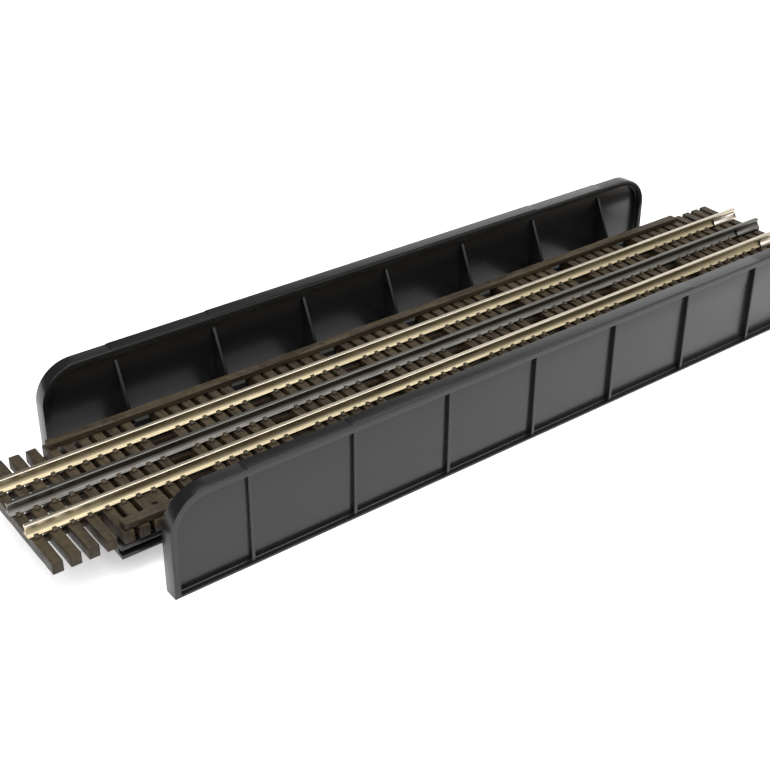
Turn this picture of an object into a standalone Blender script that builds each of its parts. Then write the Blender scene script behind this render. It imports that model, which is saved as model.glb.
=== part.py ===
"""Through plate-girder railway bridge for three-rail model trains, built piece by piece.

X runs along the track, Y across it and Z up. The origin is under the middle of the bridge, on the
plane that the two girders stand on. Sizes are written in millimetres and turned to metres by MM.
"""

import math

import bmesh
import bpy

MM = 0.001

# Driving sizes of the bridge, in millimetres
SPAN = 377.6  # length of each girder
PANEL = 50.8  # pitch of the stiffeners, floor beams and knee braces
STATIONS = (-3, -2, -1, 0, 1, 2, 3)  # stiffener stations, counted in panels from the middle
GIRDER_Y = 57.05  # centre plane of each girder
GIRDER_HEIGHT = 46.8  # height without the cover plates
FLANGE_WIDTH = 7.4
FLANGE_THICK = 2.8  # of the top and end flanges
SOLE_THICK = 1.0  # of the bottom flange
CORNER_RADIUS = 18.0  # outer radius of the girders' rounded top corners
CORNER_STEPS = 10  # straight facets in each rounded corner
WEB_THICK = 2.0
RIB_WIDTH = 1.6
RIB_PROUD = 2.0
COVER_STEP = 0.45  # height of each cover plate step
COVER_HALF_LENGTHS = (3 * PANEL + 1.8, 2 * PANEL + 1.8)
COVER_INSET = 0.25

# Gap kept between pieces that touch in the real bridge
FIT_GAP = 0.3

# Floor
BEAM_FLANGE = 8.0
BEAM_HEIGHT = 8.6
BEAM_SKIN = 1.4
BEAM_BOTTOM = SOLE_THICK + FIT_GAP
BEAM_TOP = BEAM_BOTTOM + BEAM_HEIGHT
WEB_INNER_Y = GIRDER_Y - WEB_THICK / 2
BEAM_HALF_LENGTH = WEB_INNER_Y - FIT_GAP
BRACE_THICK = 1.6
BRACE_TOP = 40.4
BRACE_TOE_Y = 41.6
BRACE_LEDGE = 0.5
BRACE_SHIFT = 0.7  # how far right of its stiffener each knee brace stands
FLOOR_HALF_LENGTH = 199.0
STRINGER_BOTTOM = BEAM_TOP + FIT_GAP
STRINGER_HEIGHT = 6.2
STRINGER_WIDTH = 8.0
STRINGER_Y = 34.1
STRINGER_SKIN = 1.9
STRINGER_WEB = 1.8
DECK_HALF_WIDTH = 29.7
DECK_THICK = 1.5
TRACK_STRINGER_WIDTH = 6.0
TRACK_STRINGER_SKIN = 1.1
TRACK_STRINGER_WEB = 1.4

# Ties and guard timbers
TIE_BOTTOM = STRINGER_BOTTOM + STRINGER_HEIGHT + FIT_GAP
TIE_HEIGHT = 5.6
TIE_TOP = TIE_BOTTOM + TIE_HEIGHT
TIE_WIDTH = 4.6
TIE_HALF_LENGTH = 38.1
TIES_PER_PANEL = 6
TIE_PITCH = 6.86
APPROACH_TIES = 4
APPROACH_PITCH = 7.55
TIE_LINK_WIDTH = 2.6
TIE_LINK_LOW = 0.4
TIE_LINK_HIGH = 2.6
GUARD_Y = 34.4
GUARD_WIDTH = 5.0
GUARD_TOP_ABOVE_TIES = 2.9

# Rails: 5.46 mm high, 31.75 mm between the running rails' inner faces
RAIL_HALF_LENGTH = 228.6
RAIL_HEIGHT = 5.46
RAIL_HEAD = 2.4
RAIL_GAUGE = 31.75
RAIL_Y = (RAIL_GAUGE + RAIL_HEAD) / 2
RAIL_FOOT = 4.9
RAIL_WEB = 1.0
RAIL_BOTTOM = TIE_TOP + FIT_GAP

# Rail joiners, slid onto the right-hand rail ends
JOINER_LENGTH = 19.0
JOINER_END_X = 228.3
JOINER_SKIN = 0.4
JOINER_TOP = 3.6
GROOVE_HALF_WIDTH = 3.6
GROOVE_DEPTH = 0.8

# Track screws, sunk in a pad between two ties
SCREW_X = 3.5 * PANEL
SCREW_Y = 27.0
PAD_INNER_Y = 18.0
PAD_OUTER_Y = 29.2
SCREW_HEAD_RADIUS = 0.85
SCREW_SHANK_RADIUS = 0.6
SCREW_HEAD_HEIGHT = 0.9
SCREW_SUNK = 0.6
SCREW_TIP = STRINGER_BOTTOM
ROUND_STEPS = 16

# Overlap that two shapes keep where a Boolean joins or cuts them
BITE = 0.6

# Faces that meet at less than this angle, in radians, are one flat face
FLAT_ANGLE = 0.001

# Colours as red, green, blue
BLACK_PLASTIC = (0.035, 0.036, 0.038)
BROWN_PLASTIC = (0.105, 0.082, 0.058)
NICKEL_SILVER = (0.62, 0.55, 0.40)
BLACKENED_METAL = (0.085, 0.083, 0.078)
PALE_METAL = (0.66, 0.63, 0.58)

EDGE_ON = (math.pi / 2, 0.0, math.pi / 2)  # outline in Y and Z, thickness along X
SIDE_ON = (math.pi / 2, 0.0, 0.0)  # outline in X and Z, thickness along Y


def clear_scene():
    """Remove every object that the file starts with."""
    for obj in list(bpy.data.objects):
        bpy.data.objects.remove(obj)


def new_collection(name):
    """Make a collection and link it to the scene."""
    collection = bpy.data.collections.new(name)
    bpy.context.scene.collection.children.link(collection)
    return collection


def new_material(name, color, roughness, metallic):
    """Make a Principled material of one colour."""
    material = bpy.data.materials.new(name)
    material.use_nodes = True
    shader = material.node_tree.nodes["Principled BSDF"]
    shader.inputs["Base Color"].default_value = (*color, 1.0)
    shader.inputs["Roughness"].default_value = roughness
    shader.inputs["Metallic"].default_value = metallic
    return material


def add_object(name, mesh, material=None):
    """Put a mesh in the bridge, or among the cutters when it has no material."""
    obj = bpy.data.objects.new(name, mesh)
    if material is None:
        cutters.objects.link(obj)
        obj.hide_render = True
        obj.display_type = "WIRE"
    else:
        bridge.objects.link(obj)
        mesh.materials.append(material)
    return obj


def box_mesh(name, boxes):
    """Make a mesh of boxes, each given by its lowest and highest corner in millimetres."""
    shape = bmesh.new()
    for low, high in boxes:
        corners = bmesh.ops.create_cube(shape, size=1.0)["verts"]
        for vertex in corners:
            for axis in range(3):
                middle = (low[axis] + high[axis]) / 2
                extent = high[axis] - low[axis]
                vertex.co[axis] = (middle + vertex.co[axis] * extent) * MM
    mesh = bpy.data.meshes.new(name)
    shape.to_mesh(mesh)
    shape.free()
    return mesh


def outline_mesh(name, outline, thickness, rotation, location):
    """Make a solid of one thickness from a closed outline in millimetres."""
    curve = bpy.data.curves.new(name, "CURVE")
    curve.dimensions = "2D"
    curve.fill_mode = "BOTH"
    curve.extrude = thickness * MM / 2
    spline = curve.splines.new("POLY")
    spline.points.add(len(outline) - 1)
    for spline_point, (across, up) in zip(spline.points, outline):
        spline_point.co = (across * MM, up * MM, 0.0, 1.0)
    spline.use_cyclic_u = True
    guide = bpy.data.objects.new(name + "_outline", curve)
    guide.rotation_euler = rotation
    guide.location = [value * MM for value in location]
    cutters.objects.link(guide)
    bpy.context.view_layer.update()
    evaluated = guide.evaluated_get(bpy.context.evaluated_depsgraph_get())
    mesh = bpy.data.meshes.new_from_object(evaluated)
    mesh.transform(guide.matrix_world)
    bpy.data.objects.remove(guide)
    shape = bmesh.new()
    shape.from_mesh(mesh)
    bmesh.ops.remove_doubles(shape, verts=shape.verts, dist=0.001 * MM)
    bmesh.ops.dissolve_limit(
        shape, angle_limit=FLAT_ANGLE, verts=shape.verts, edges=shape.edges
    )
    bmesh.ops.recalc_face_normals(shape, faces=shape.faces)
    shape.to_mesh(mesh)
    shape.free()
    mesh.name = name
    return mesh


def boolean(obj, other, operation):
    """Join or cut an object with another one."""
    modifier = obj.modifiers.new(operation.lower() + "_" + other.name, "BOOLEAN")
    modifier.object = other
    modifier.operation = operation
    modifier.solver = "EXACT"


def mirrored(half):
    """Close a right-hand half profile, listed from bottom to top, with its mirror image."""
    return half + [(-across, up) for across, up in reversed(half)]


def i_profile(width, bottom, height, skin, web):
    """Outline of an I-beam with its foot at a given height."""
    top = bottom + height
    half = [
        (width / 2, bottom),
        (width / 2, bottom + skin),
        (web / 2, bottom + skin),
        (web / 2, top - skin),
        (width / 2, top - skin),
        (width / 2, top),
    ]
    return mirrored(half)


def round_top_outline(half_length, bottom, top, radius):
    """Rectangle whose two upper corners are round."""
    centre_x = half_length - radius
    centre_z = top - radius
    corner = []
    for step in range(CORNER_STEPS + 1):
        angle = math.pi / 2 * step / CORNER_STEPS
        corner.append((centre_x + radius * math.cos(angle), centre_z + radius * math.sin(angle)))
    return mirrored([(half_length, bottom)] + corner)


# Girders ---------------------------------------------------------------------------------------


def build_girder(name, side):
    """One girder: flanges all round, web, outside stiffeners and stepped cover plates."""
    girder_y = side * GIRDER_Y
    half = SPAN / 2
    outer = round_top_outline(half, 0.0, GIRDER_HEIGHT, CORNER_RADIUS)
    plate = outline_mesh(name, outer, FLANGE_WIDTH, SIDE_ON, (0.0, girder_y, 0.0))
    girder = add_object(name, plate, black_plastic)

    inner = round_top_outline(
        half - FLANGE_THICK,
        SOLE_THICK,
        GIRDER_HEIGHT - FLANGE_THICK,
        CORNER_RADIUS - FLANGE_THICK,
    )
    pocket_depth = (FLANGE_WIDTH - WEB_THICK) / 2 + BITE
    for face_name, face in (("inside", -side), ("outside", side)):
        pocket_name = f"{name}_{face_name}_pocket"
        centre = (0.0, girder_y + face * (WEB_THICK + pocket_depth) / 2, 0.0)
        pocket = outline_mesh(pocket_name, inner, pocket_depth, SIDE_ON, centre)
        boolean(girder, add_object(pocket_name, pocket), "DIFFERENCE")

    rib_root = girder_y + side * (WEB_THICK / 2 - BITE)
    rib_face = girder_y + side * (WEB_THICK / 2 + RIB_PROUD)
    ribs = []
    for station in STATIONS:
        rib_x = station * PANEL
        low = (rib_x - RIB_WIDTH / 2, min(rib_root, rib_face), SOLE_THICK - BITE)
        high = (
            rib_x + RIB_WIDTH / 2,
            max(rib_root, rib_face),
            GIRDER_HEIGHT - FLANGE_THICK + BITE,
        )
        ribs.append((low, high))
    rib_object = add_object(name + "_ribs", box_mesh(name + "_ribs", ribs))
    boolean(girder, rib_object, "UNION")

    for layer, half_length in enumerate(COVER_HALF_LENGTHS, start=1):
        half_width = FLANGE_WIDTH / 2 - COVER_INSET * layer
        low = (-half_length, girder_y - half_width, GIRDER_HEIGHT - BITE)
        high = (half_length, girder_y + half_width, GIRDER_HEIGHT + COVER_STEP * layer)
        cover_name = f"{name}_cover_{layer}"
        boolean(girder, add_object(cover_name, box_mesh(cover_name, [(low, high)])), "UNION")


def build_knee_brace(name, side, brace_x):
    """Sloped plate that stays a girder's web from the end of a floor beam."""
    back = WEB_INNER_Y - FIT_GAP
    outline = [
        (side * back, STRINGER_BOTTOM),
        (side * back, BRACE_TOP),
        (side * (back - BRACE_LEDGE), BRACE_TOP),
        (side * BRACE_TOE_Y, STRINGER_BOTTOM + BRACE_LEDGE),
        (side * BRACE_TOE_Y, STRINGER_BOTTOM),
    ]
    mesh = outline_mesh(name, outline, BRACE_THICK, EDGE_ON, (brace_x, 0.0, 0.0))
    add_object(name, mesh, black_plastic)


# Floor -----------------------------------------------------------------------------------------


def build_floor_beam(name, beam_x):
    """Cross beam between the girders."""
    profile = i_profile(BEAM_FLANGE, BEAM_BOTTOM, BEAM_HEIGHT, BEAM_SKIN, BRACE_THICK)
    length = 2 * BEAM_HALF_LENGTH
    mesh = outline_mesh(name, profile, length, SIDE_ON, (beam_x, 0.0, 0.0))
    add_object(name, mesh, black_plastic)


def build_outer_stringer(name, side):
    """I-beam along the floor's edge, under the tie ends."""
    profile = i_profile(
        STRINGER_WIDTH, STRINGER_BOTTOM, STRINGER_HEIGHT, STRINGER_SKIN, STRINGER_WEB
    )
    centre = (0.0, side * STRINGER_Y, 0.0)
    mesh = outline_mesh(name, profile, 2 * FLOOR_HALF_LENGTH, EDGE_ON, centre)
    add_object(name, mesh, black_plastic)


def build_track_stringer(name, side):
    """Smaller I-beam under a running rail, standing on the deck plate."""
    bottom = STRINGER_BOTTOM + DECK_THICK + FIT_GAP
    height = STRINGER_BOTTOM + STRINGER_HEIGHT - bottom
    profile = i_profile(
        TRACK_STRINGER_WIDTH, bottom, height, TRACK_STRINGER_SKIN, TRACK_STRINGER_WEB
    )
    centre = (0.0, side * RAIL_Y, 0.0)
    mesh = outline_mesh(name, profile, 2 * FLOOR_HALF_LENGTH, EDGE_ON, centre)
    add_object(name, mesh, black_plastic)


def screw_places():
    """Positions of the two track screws, at opposite ends and sides of the bridge."""
    return [(side * SCREW_X, side * SCREW_Y) for side in (-1, 1)]


def round_cutters(name, radius, low, high):
    """Upright cylinders at both screw places, as one cutter."""
    shape = bmesh.new()
    for screw_x, screw_y in screw_places():
        made = bmesh.ops.create_cone(
            shape,
            cap_ends=True,
            segments=ROUND_STEPS,
            radius1=radius * MM,
            radius2=radius * MM,
            depth=(high - low) * MM,
        )
        offset = (screw_x * MM, screw_y * MM, (low + high) / 2 * MM)
        bmesh.ops.translate(shape, verts=made["verts"], vec=offset)
    mesh = bpy.data.meshes.new(name)
    shape.to_mesh(mesh)
    shape.free()
    return add_object(name, mesh)


def build_deck_plate():
    """Plate between the outer stringers, with a hole for each track screw."""
    top = STRINGER_BOTTOM + DECK_THICK
    low = (-FLOOR_HALF_LENGTH, -DECK_HALF_WIDTH, STRINGER_BOTTOM)
    high = (FLOOR_HALF_LENGTH, DECK_HALF_WIDTH, top)
    plate = add_object("deck_plate", box_mesh("deck_plate", [(low, high)]), black_plastic)
    radius = SCREW_SHANK_RADIUS + FIT_GAP
    holes = round_cutters("deck_screw_holes", radius, STRINGER_BOTTOM - BITE, top + BITE)
    boolean(plate, holes, "DIFFERENCE")


# Ties, guard timbers and screws ----------------------------------------------------------------


def tie_places():
    """X of every tie: six between stations, then the wider-spaced approach ties at both ends."""
    first = (PANEL - (TIES_PER_PANEL - 1) * TIE_PITCH) / 2
    places = []
    for panel in range(STATIONS[0] - 1, STATIONS[-1] + 1):
        for tie in range(TIES_PER_PANEL):
            places.append(panel * PANEL + first + tie * TIE_PITCH)
    last = max(places)
    for tie in range(1, APPROACH_TIES + 1):
        places.append(last + tie * APPROACH_PITCH)
        places.append(-last - tie * APPROACH_PITCH)
    return sorted(places)


def build_tie_strip():
    """All the ties, linked under the rails, with two screw pads and grooves for the joiners."""
    ties = []
    for tie_x in tie_places():
        low = (tie_x - TIE_WIDTH / 2, -TIE_HALF_LENGTH, TIE_BOTTOM)
        high = (tie_x + TIE_WIDTH / 2, TIE_HALF_LENGTH, TIE_TOP)
        ties.append((low, high))
    strip = add_object("tie_strip", box_mesh("tie_strip", ties), brown_plastic)

    link_half_length = max(tie_places())
    links = []
    for rail_y in (-RAIL_Y, 0.0, RAIL_Y):
        low = (-link_half_length, rail_y - TIE_LINK_WIDTH / 2, TIE_BOTTOM + TIE_LINK_LOW)
        high = (link_half_length, rail_y + TIE_LINK_WIDTH / 2, TIE_BOTTOM + TIE_LINK_HIGH)
        links.append((low, high))
    boolean(strip, add_object("tie_links", box_mesh("tie_links", links)), "UNION")

    pad_half = (TIE_PITCH - TIE_WIDTH) / 2 + BITE
    pads = []
    for side in (-1, 1):
        edges = sorted((side * PAD_INNER_Y, side * PAD_OUTER_Y))
        low = (side * SCREW_X - pad_half, edges[0], TIE_BOTTOM + TIE_LINK_LOW / 2)
        high = (side * SCREW_X + pad_half, edges[1], TIE_TOP - TIE_LINK_LOW / 2)
        pads.append((low, high))
    boolean(strip, add_object("screw_pads", box_mesh("screw_pads", pads)), "UNION")

    sink_floor = TIE_TOP - SCREW_SUNK - SCREW_HEAD_HEIGHT - FIT_GAP
    sinks = round_cutters(
        "screw_sinks", SCREW_HEAD_RADIUS + FIT_GAP, sink_floor, TIE_TOP + BITE
    )
    boolean(strip, sinks, "DIFFERENCE")
    bores = round_cutters(
        "screw_bores", SCREW_SHANK_RADIUS + FIT_GAP, TIE_BOTTOM - BITE, sink_floor + BITE
    )
    boolean(strip, bores, "DIFFERENCE")

    grooves = []
    groove_start = JOINER_END_X - JOINER_LENGTH - BITE
    for rail_y in (-RAIL_Y, 0.0, RAIL_Y):
        low = (groove_start, rail_y - GROOVE_HALF_WIDTH, TIE_TOP - GROOVE_DEPTH)
        high = (RAIL_HALF_LENGTH + BITE, rail_y + GROOVE_HALF_WIDTH, TIE_TOP + BITE)
        grooves.append((low, high))
    boolean(strip, add_object("joiner_grooves", box_mesh("joiner_grooves", grooves)), "DIFFERENCE")


def build_guard_timber(name, side):
    """Long timber on the tie ends, from the first bridge tie to the last."""
    bridge_ties = tie_places()[APPROACH_TIES:-APPROACH_TIES]
    half_length = max(bridge_ties) + TIE_WIDTH / 2
    edges = sorted((side * (GUARD_Y - GUARD_WIDTH / 2), side * (GUARD_Y + GUARD_WIDTH / 2)))
    low = (-half_length, edges[0], TIE_TOP + FIT_GAP)
    high = (half_length, edges[1], TIE_TOP + GUARD_TOP_ABOVE_TIES)
    add_object(name, box_mesh(name, [(low, high)]), brown_plastic)


def build_track_screw(name, screw_x, screw_y):
    """Turned screw: a flat round head sunk in the pad and a shank into the deck plate."""
    head_top = TIE_TOP - SCREW_SUNK
    head_bottom = head_top - SCREW_HEAD_HEIGHT
    profile = [
        (0.0, head_top),
        (SCREW_HEAD_RADIUS, head_top),
        (SCREW_HEAD_RADIUS, head_bottom),
        (SCREW_SHANK_RADIUS, head_bottom),
        (SCREW_SHANK_RADIUS, SCREW_TIP),
        (0.0, SCREW_TIP),
    ]
    mesh = bpy.data.meshes.new(name)
    points = [(radius * MM, 0.0, height * MM) for radius, height in profile]
    edges = [(index, index + 1) for index in range(len(points) - 1)]
    mesh.from_pydata(points, edges, [])
    screw = add_object(name, mesh, blackened_metal)
    screw.location = (screw_x * MM, screw_y * MM, 0.0)
    turn = screw.modifiers.new("turn", "SCREW")
    turn.steps = ROUND_STEPS
    turn.render_steps = ROUND_STEPS
    turn.use_merge_vertices = True
    turn.merge_threshold = 0.01 * MM


# Rails and joiners -----------------------------------------------------------------------------


def rail_profile():
    """Outline of a flat-bottomed rail standing at height 0."""
    head_bottom = RAIL_HEIGHT - 1.3
    half = [
        (RAIL_FOOT / 2, 0.0),
        (RAIL_FOOT / 2, 0.55),
        (0.9, 1.0),
        (RAIL_WEB / 2, 1.4),
        (RAIL_WEB / 2, head_bottom - 0.35),
        (RAIL_HEAD / 2, head_bottom),
        (RAIL_HEAD / 2, RAIL_HEIGHT - 0.25),
        (RAIL_HEAD / 2 - 0.25, RAIL_HEIGHT),
    ]
    return mirrored(half)


def build_rail(name, rail_y, material):
    """One rail along the whole track."""
    centre = (0.0, rail_y, RAIL_BOTTOM)
    mesh = outline_mesh(name, rail_profile(), 2 * RAIL_HALF_LENGTH, EDGE_ON, centre)
    add_object(name, mesh, material)


def joiner_profile():
    """Outline of a folded sheet that wraps the rail's foot and rises beside its web."""
    side_in = RAIL_FOOT / 2 + FIT_GAP
    side_out = side_in + JOINER_SKIN
    rise_in = RAIL_WEB / 2 + 0.4
    rise_out = rise_in + JOINER_SKIN
    inner = [
        (0.0, -FIT_GAP),
        (side_in, -FIT_GAP),
        (side_in, 0.95),
        (rise_in, 1.5),
        (rise_in, JOINER_TOP),
    ]
    outer = [
        (rise_out, JOINER_TOP),
        (rise_out, 1.9),
        (side_out, 1.4),
        (side_out, -FIT_GAP - JOINER_SKIN),
    ]
    right = inner[1:] + outer
    left = [(-across, up) for across, up in reversed(right)]
    return right + left


def build_joiner(name, rail_y, material):
    """One rail joiner on a right-hand rail end; its origin is on the rail's centre line."""
    middle_x = JOINER_END_X - JOINER_LENGTH / 2
    mesh = outline_mesh(name, joiner_profile(), JOINER_LENGTH, EDGE_ON, (0.0, 0.0, 0.0))
    joiner = add_object(name, mesh, material)
    joiner.location = (middle_x * MM, rail_y * MM, RAIL_BOTTOM * MM)


clear_scene()
bridge = new_collection("plate_girder_bridge")
cutters = new_collection("cutters")

black_plastic = new_material("black_plastic", BLACK_PLASTIC, 0.45, 0.0)
brown_plastic = new_material("brown_plastic", BROWN_PLASTIC, 0.6, 0.0)
nickel_silver = new_material("nickel_silver", NICKEL_SILVER, 0.3, 1.0)
blackened_metal = new_material("blackened_metal", BLACKENED_METAL, 0.4, 0.8)
pale_metal = new_material("pale_metal", PALE_METAL, 0.35, 1.0)

SIDES = (("near", -1), ("far", 1))

for side_name, side_sign in SIDES:
    build_girder(side_name + "_girder", side_sign)
    build_outer_stringer(side_name + "_outer_stringer", side_sign)
    build_track_stringer(side_name + "_track_stringer", side_sign)
    build_guard_timber(side_name + "_guard_timber", side_sign)
    build_rail(side_name + "_running_rail", side_sign * RAIL_Y, nickel_silver)
    build_joiner(side_name + "_rail_joiner", side_sign * RAIL_Y, pale_metal)
    for number, station_panel in enumerate(STATIONS, start=1):
        brace_name = f"{side_name}_knee_brace_{number}"
        build_knee_brace(brace_name, side_sign, station_panel * PANEL + BRACE_SHIFT)

for number, station_panel in enumerate(STATIONS, start=1):
    build_floor_beam(f"floor_beam_{number}", station_panel * PANEL)
build_deck_plate()
build_tie_strip()
build_rail("center_rail", 0.0, blackened_metal)
build_joiner("center_rail_joiner", 0.0, blackened_metal)
for side_name, (place_x, place_y) in zip(("left", "right"), screw_places()):
    build_track_screw(side_name + "_track_screw", place_x, place_y)
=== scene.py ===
"""Looks of a through plate-girder bridge for three-rail model trains.

Sizes are in millimetres and are turned to metres where a mesh is made. X runs along the track, Y
across it and Z up, from the plane that the girders stand on.
"""

import logging
import math
from dataclasses import dataclass, field
from enum import Enum

import bmesh
import bpy
import numpy as np
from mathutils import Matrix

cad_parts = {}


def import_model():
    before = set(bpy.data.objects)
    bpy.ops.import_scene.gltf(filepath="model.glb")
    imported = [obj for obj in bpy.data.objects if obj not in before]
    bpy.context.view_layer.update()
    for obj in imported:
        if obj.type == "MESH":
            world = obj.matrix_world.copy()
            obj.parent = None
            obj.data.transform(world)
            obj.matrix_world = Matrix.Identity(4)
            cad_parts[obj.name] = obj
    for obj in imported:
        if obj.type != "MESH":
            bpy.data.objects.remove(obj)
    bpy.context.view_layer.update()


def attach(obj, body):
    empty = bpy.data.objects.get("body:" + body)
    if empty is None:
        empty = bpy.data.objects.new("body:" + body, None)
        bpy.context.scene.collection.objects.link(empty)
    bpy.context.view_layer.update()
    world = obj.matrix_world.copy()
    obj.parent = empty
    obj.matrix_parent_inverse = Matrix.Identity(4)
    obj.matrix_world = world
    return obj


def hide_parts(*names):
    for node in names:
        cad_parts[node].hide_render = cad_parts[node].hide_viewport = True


MM = 0.001
SMOOTH_BELOW = math.radians(32.0)  # faces that meet at less than this angle shade as one
CLEAR = 0.02  # air left between a tie plate and the rail's foot
PANEL = 50.8  # from one stiffener to the next
STATIONS = (-3, -2, -1, 0, 1, 2, 3)  # stiffeners, counted in panels from the middle
RAIL_Y = 17.075
RAIL_BOTTOM = 22.6
RAIL_FOOT_HALF = 2.45
FIT_GAP = 0.3  # air between neighbouring pieces
SEED = 41
DOUBLES = 0.0005  # points nearer than this become one
END_TURNS = np.radians([90.0, 55.0, 25.0, 0.0])  # places round a drawn shape's end rounding
SHARPEST = 0.4  # least squared sum of two unit normals, so that a sharp corner isn't flung out
TINY = 1e-9

log = logging.getLogger("bridge")


class Along(Enum):
    """Axis that a shape is drawn out along, as the order of its three coordinates."""

    X = (2, 0, 1)
    Y = (0, 2, 1)
    Z = (0, 1, 2)


class Slot(Enum):
    """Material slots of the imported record."""

    BLACK = "black_plastic"
    BROWN = "brown_plastic"
    NICKEL = "nickel_silver"
    DARK_METAL = "blackened_metal"
    PALE_METAL = "pale_metal"


# Shapes ----------------------------------------------------------------------------------------


@dataclass
class Shape:
    """Points in millimetres and the faces that join them."""

    points: np.ndarray
    faces: list[list[int]]

    def moved(self, x: float = 0.0, y: float = 0.0, z: float = 0.0) -> "Shape":
        """The same shape at another place."""
        return Shape(self.points + np.array((x, y, z)), self.faces)

    def mirrored_y(self) -> "Shape":
        """The same shape on the other side of the track."""
        return Shape(self.points * np.array((1.0, -1.0, 1.0)), self.faces)


def joined(shapes: list[Shape]) -> Shape:
    """Put several shapes in one.

    Args:
        shapes: the shapes, each with its own closed surface.
    Returns:
        One shape that holds all of them.
    """
    faces: list[list[int]] = []
    start = 0
    for shape in shapes:
        faces.extend([[index + start for index in face] for face in shape.faces])
        start += len(shape.points)
    return Shape(np.concatenate([shape.points for shape in shapes]), faces)


def repeated(shape: Shape, places: np.ndarray) -> Shape:
    """Copy a shape to many places by adding each place to every point.

    Args:
        shape: the shape to copy.
        places: one x, y, z row for each copy.
    Returns:
        One shape with all the copies.
    """
    points = (places[:, None, :] + shape.points[None, :, :]).reshape(-1, 3)
    starts = range(0, len(points), len(shape.points))
    faces = [[index + start for index in face] for start in starts for face in shape.faces]
    return Shape(points, faces)


def softened(corners: np.ndarray, radii: np.ndarray | float, steps: int = 4) -> np.ndarray:
    """Round every corner of a closed outline.

    Each corner P with rounding r becomes the curve (1-t)(1-t)A + 2t(1-t)P + ttB, where A and B lie
    at the distance r from P on the two sides that meet there.

    Args:
        corners: the outline's corners, one row each.
        radii: rounding of each corner, or one value for all.
        steps: points in each rounded corner.
    Returns:
        The rounded outline.
    """
    corners = np.asarray(corners, float)
    radii = np.broadcast_to(np.asarray(radii, float), (len(corners),))[:, None]
    back = np.roll(corners, 1, axis=0) - corners
    ahead = np.roll(corners, -1, axis=0) - corners
    start = corners + back * (radii / np.linalg.norm(back, axis=1, keepdims=True))
    end = corners + ahead * (radii / np.linalg.norm(ahead, axis=1, keepdims=True))
    t = np.linspace(0.0, 1.0, steps)[None, :, None]
    towards_corner = 2 * t * (1 - t) * corners[:, None]
    curve = (1 - t) ** 2 * start[:, None] + towards_corner + t**2 * end[:, None]
    return curve.reshape(-1, 2)


def inset_outline(outline: np.ndarray, amount: float) -> np.ndarray:
    """Move every point of a counter-clockwise outline inwards.

    A point moves along the sum of the normals of its two sides, lengthened so that both sides end
    up at the wanted distance.

    Args:
        outline: closed outline, one row for each point.
        amount: distance to move the sides.
    Returns:
        The smaller outline.
    """
    ahead = np.roll(outline, -1, axis=0) - outline
    ahead /= np.maximum(np.linalg.norm(ahead, axis=1, keepdims=True), TINY)
    normal = np.stack([-ahead[:, 1], ahead[:, 0]], axis=1)
    both = normal + np.roll(normal, 1, axis=0)
    scale = 2.0 / np.maximum((both**2).sum(axis=1, keepdims=True), SHARPEST)
    return outline + amount * both * scale


def lofted(rings: np.ndarray, closed: bool = False) -> Shape:
    """Skin a row of rings that all have the same number of points.

    Args:
        rings: array of rings by points by 3.
        closed: join the last ring to the first, in place of closing both ends with a face.
    Returns:
        The closed shape.
    """
    count, size = rings.shape[:2]
    spans = count if closed else count - 1
    row = np.arange(spans)[:, None]
    column = np.arange(size)[None, :]
    after = (column + 1) % size
    next_row = (row + 1) % count
    quads = np.stack(
        [
            row * size + column,
            row * size + after,
            next_row * size + after,
            next_row * size + column,
        ],
        axis=-1,
    ).reshape(-1, 4)
    faces = quads.tolist()
    if not closed:
        faces.append(list(range(size))[::-1])
        faces.append(list(range((count - 1) * size, count * size)))
    return Shape(rings.reshape(-1, 3), faces)


def drawn_out(
    outline: np.ndarray, low: float, high: float, axis: Along, edge: float = 0.15
) -> Shape:
    """Draw an outline out along one axis, with a small quarter-round at both ends.

    Args:
        outline: counter-clockwise outline across the axis.
        low: where the shape starts on the axis.
        high: where it ends.
        axis: the axis that it runs along.
        edge: rounding of the two ends.
    Returns:
        The closed shape.
    """
    insets = edge * (1 - np.cos(END_TURNS))
    depths = edge * (1 - np.sin(END_TURNS))
    places = np.concatenate([low + depths, (high - depths)[::-1]])
    amounts = np.concatenate([insets, insets[::-1]])
    rings = [
        np.column_stack([inset_outline(outline, amount), np.full(len(outline), place)])
        for amount, place in zip(amounts, places)
    ]
    return lofted(np.array(rings)[:, :, list(axis.value)])


def box_outline(
    low: tuple[float, float], high: tuple[float, float], radius: float, steps: int = 4
) -> np.ndarray:
    """Rounded rectangle between two corners.

    Args:
        low: its lowest corner.
        high: its highest corner.
        radius: rounding of its corners.
        steps: points in each rounded corner.
    Returns:
        The outline, counter-clockwise.
    """
    corners = [(low[0], low[1]), (high[0], low[1]), (high[0], high[1]), (low[0], high[1])]
    return softened(np.array(corners), radius, steps)


def mirrored_outline(half: list[tuple[float, float, float]]) -> tuple[np.ndarray, np.ndarray]:
    """Close a right-hand half outline with its mirror image.

    Args:
        half: across, up and corner rounding of each corner, from bottom to top.
    Returns:
        The corners and their roundings.
    """
    right = np.array(half)
    left = right[::-1] * np.array((-1.0, 1.0, 1.0))
    both = np.concatenate([right, left])
    return both[:, :2], both[:, 2]


def wandering(
    places: np.ndarray, phase: np.ndarray, rates: tuple[float, ...], sizes: tuple[float, ...]
) -> np.ndarray:
    """Small smooth wander of a surface, the sum of sines with their own rates and sizes.

    Args:
        places: distance along the piece, in an array that fits all but phase's last axis.
        phase: one phase for each sine, on the last axis.
        rates: radians for each millimetre.
        sizes: height of each sine, in millimetres.
    Returns:
        The wander of every point.
    """
    return (np.sin(places[..., None] * np.array(rates) + phase) * np.array(sizes)).sum(axis=-1)


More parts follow.
